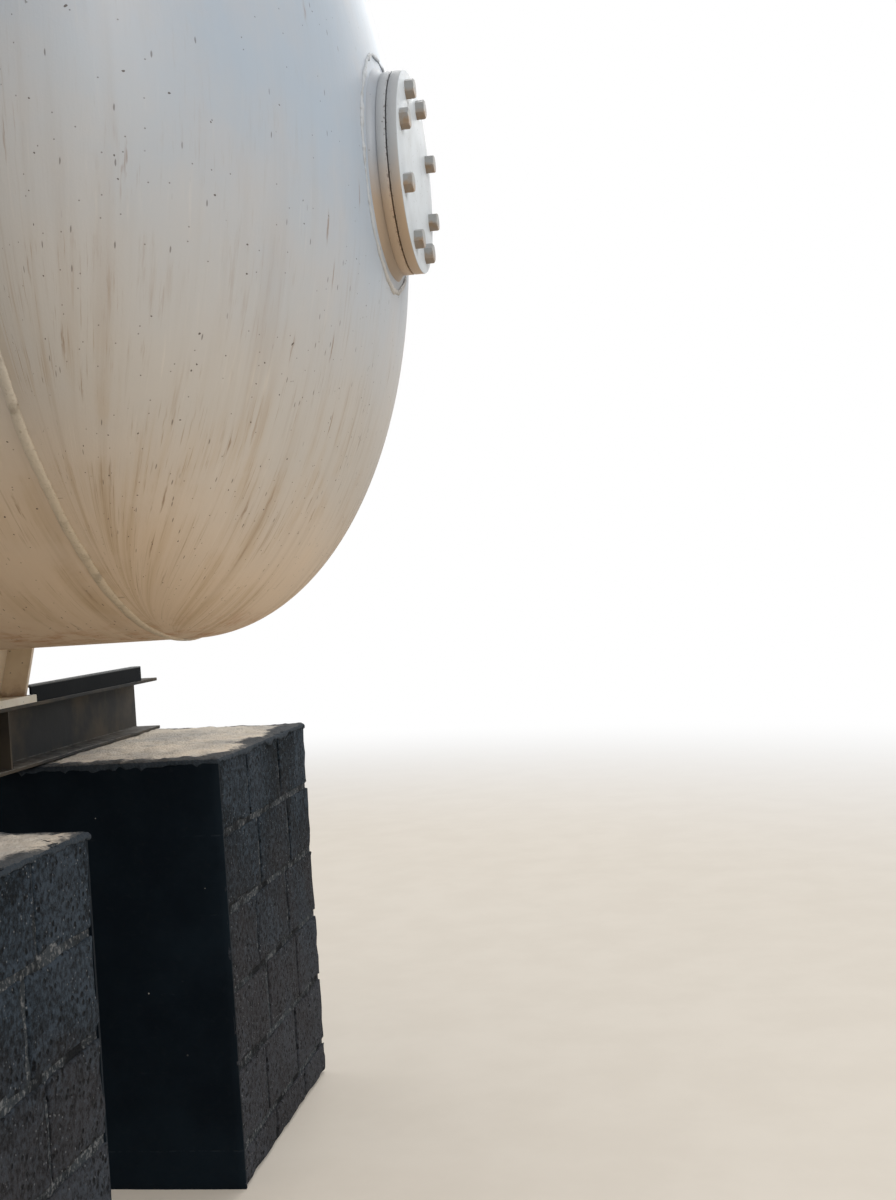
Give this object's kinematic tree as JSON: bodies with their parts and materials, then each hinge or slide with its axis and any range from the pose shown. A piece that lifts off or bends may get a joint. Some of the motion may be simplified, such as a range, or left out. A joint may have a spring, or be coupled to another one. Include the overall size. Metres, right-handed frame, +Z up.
{
  "type": "horizontal pressure tank",
  "caption": "Horizontal welded pressure tank with dished heads and an end manway, on steel saddles, I-beams and rough block masonry.",
  "frame": {"origin": "centre of the bounding box at ground level", "axes": "+X along the tank towards the manway end, +Y across it towards the higher walls, +Z up"},
  "size_m": [8.884, 3.15, 4.567],
  "materials": {
    "tank_paint": "satin off-white, dust-stained underneath",
    "manway_paint": "satin off-white",
    "cover_bolts": "painted over",
    "gasket": "dull",
    "saddle_paint": "satin, rust at the lower edges",
    "beam_paint": "dull navy",
    "block_masonry": "rough, painted charcoal",
    "weathered_pipe_paint": "cream paint stained with rust",
    "lever_steel": "dull",
    "pipe_bolts": "dull, lightly rusted"
  },
  "bodies": {
    "root": {"shell_front_course": "tank_paint", "shell_middle_course": "tank_paint", "shell_rear_course": "tank_paint", "head_front": "tank_paint", "head_rear": "tank_paint", "head_seam_front": "tank_paint", "head_seam_rear": "tank_paint", "girth_seams": "tank_paint", "long_seams": "tank_paint", "manway_neck": "manway_paint", "manway_collar": "manway_paint", "manway_ring": "manway_paint", "manway_gasket": "gasket", "manway_cover": "manway_paint", "manway_bolts": "cover_bolts", "saddle_front_wear_plate": "saddle_paint", "saddle_front_web": "saddle_paint", "saddle_front_ribs": "saddle_paint", "saddle_front_base": "saddle_paint", "saddle_rear_wear_plate": "saddle_paint", "saddle_rear_web": "saddle_paint", "saddle_rear_ribs": "saddle_paint", "saddle_rear_base": "saddle_paint", "beam_front": "beam_paint", "beam_front_stiffeners": "beam_paint", "beam_front_channel": "beam_paint", "beam_rear": "beam_paint", "beam_rear_stiffeners": "beam_paint", "beam_rear_channel": "beam_paint", "far_wall_front": "block_masonry", "near_wall_front": "block_masonry", "mortar_bed_front": "block_masonry", "far_wall_rear": "block_masonry", "near_wall_rear": "block_masonry", "mortar_bed_rear": "block_masonry", "outlet_nozzle": "weathered_pipe_paint", "outlet_valve": "weathered_pipe_paint", "outlet_valve_bonnet": "weathered_pipe_paint", "outlet_valve_lever": "lever_steel", "outlet_drop_pipe": "weathered_pipe_paint", "outlet_bolts": "pipe_bolts", "relief_nozzle": "tank_paint", "relief_valve": "weathered_pipe_paint", "vapour_nozzle": "tank_paint", "lifting_lugs": "tank_paint"}
  },
  "joints": []
}
